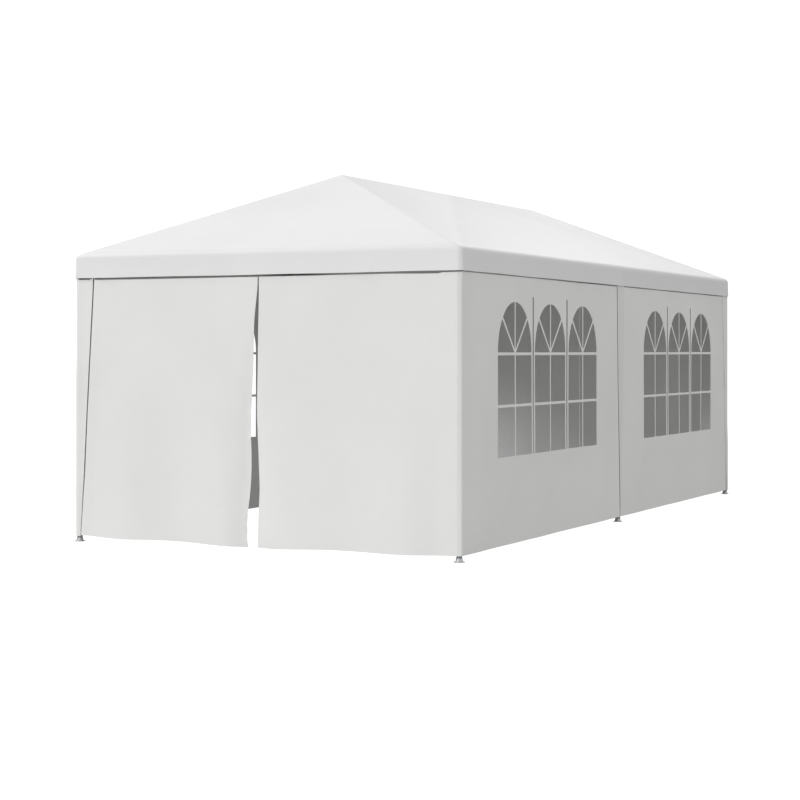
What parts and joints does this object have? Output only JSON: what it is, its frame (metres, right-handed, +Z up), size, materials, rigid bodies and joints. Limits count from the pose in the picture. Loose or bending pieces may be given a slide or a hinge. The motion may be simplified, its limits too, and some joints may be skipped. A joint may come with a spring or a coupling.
{
  "type": "party marquee tent",
  "caption": "Party marquee with a hipped roof, deep valance, arched clear windows along the sides and door curtains at both ends, on a steel tube frame.",
  "frame": {"origin": "on the ground, under the middle of the plan", "axes": "+Y along the length towards the back end, so the front door end faces -Y; +X across the width to the right-hand long side; +Z up"},
  "size_m": [3.0172, 6.0172, 2.625],
  "materials": {
    "roof_cloth": "white coated woven polyethylene, satin",
    "wall_cloth": "white coated woven polyethylene, satin",
    "clear_vinyl": "clear flexible PVC film, glossy",
    "leg_tube": "galvanised steel tube",
    "roof_tube": "galvanised steel tube",
    "fitting_steel": "galvanised steel fitting",
    "foot_steel": "galvanised pressed steel"
  },
  "bodies": {
    "root": {"corner_fitting_back_left": "fitting_steel", "corner_fitting_back_right": "fitting_steel", "corner_fitting_front_left": "fitting_steel", "corner_fitting_front_right": "fitting_steel", "door_curtain_back_left": "wall_cloth", "door_curtain_back_right": "wall_cloth", "door_curtain_front_left": "wall_cloth", "door_curtain_front_right": "wall_cloth", "eave_rail_back_left": "roof_tube", "eave_rail_back_right": "roof_tube", "eave_rail_front_left": "roof_tube", "eave_rail_front_right": "roof_tube", "eave_tee_left": "fitting_steel", "eave_tee_right": "fitting_steel", "end_rail_back": "roof_tube", "end_rail_front": "roof_tube", "foot_back_left": "foot_steel", "foot_back_right": "foot_steel", "foot_front_left": "foot_steel", "foot_front_right": "foot_steel", "foot_middle_left": "foot_steel", "foot_middle_right": "foot_steel", "hip_rafter_back_left": "roof_tube", "hip_rafter_back_right": "roof_tube", "hip_rafter_front_left": "roof_tube", "hip_rafter_front_right": "roof_tube", "leg_back_left": "leg_tube", "leg_back_right": "leg_tube", "leg_front_left": "leg_tube", "leg_front_right": "leg_tube", "leg_middle_left": "leg_tube", "leg_middle_right": "leg_tube", "ridge_hub_back": "fitting_steel", "ridge_hub_front": "fitting_steel", "ridge_hub_middle": "fitting_steel", "ridge_tube_back": "roof_tube", "ridge_tube_front": "roof_tube", "roof_cover": "roof_cloth", "side_rafter_left": "roof_tube", "side_rafter_right": "roof_tube", "window_film_back_left": "clear_vinyl", "window_film_back_right": "clear_vinyl", "window_film_front_left": "clear_vinyl", "window_film_front_right": "clear_vinyl", "window_wall_back_left": "wall_cloth", "window_wall_back_right": "wall_cloth", "window_wall_front_left": "wall_cloth", "window_wall_front_right": "wall_cloth"}
  },
  "joints": []
}
